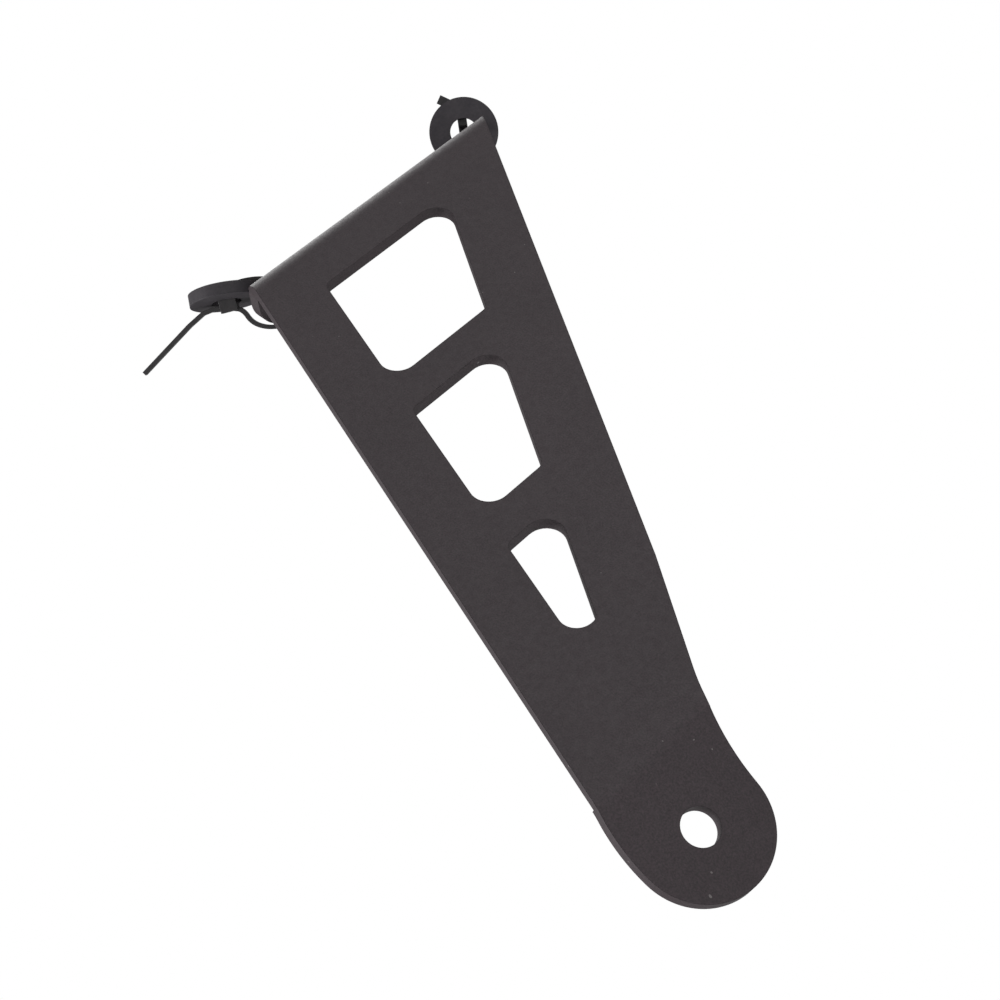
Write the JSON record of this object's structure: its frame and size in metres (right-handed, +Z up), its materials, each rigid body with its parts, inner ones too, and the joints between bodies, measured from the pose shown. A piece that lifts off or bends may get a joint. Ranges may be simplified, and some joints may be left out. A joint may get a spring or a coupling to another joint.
{
  "type": "exhaust bracket",
  "caption": "Black folded sheet bracket with a short top flange, three windows, a bent-back bolt lobe and tied-on spacer rings.",
  "frame": {"origin": "midway between the flange's two slots, on the flange's top face", "axes": "+Z up, out of the flange's top; +X along the fold; -Y out of the plate's face"},
  "size_m": [0.1529, 0.0259, 0.2181],
  "materials": {
    "sheet": "satin",
    "spacer": "matte",
    "tie": "satin"
  },
  "bodies": {
    "root": {"bracket": "sheet", "left_spacer": "spacer", "right_spacer": "spacer", "left_cable_tie": "tie", "right_cable_tie": "tie"}
  },
  "joints": []
}
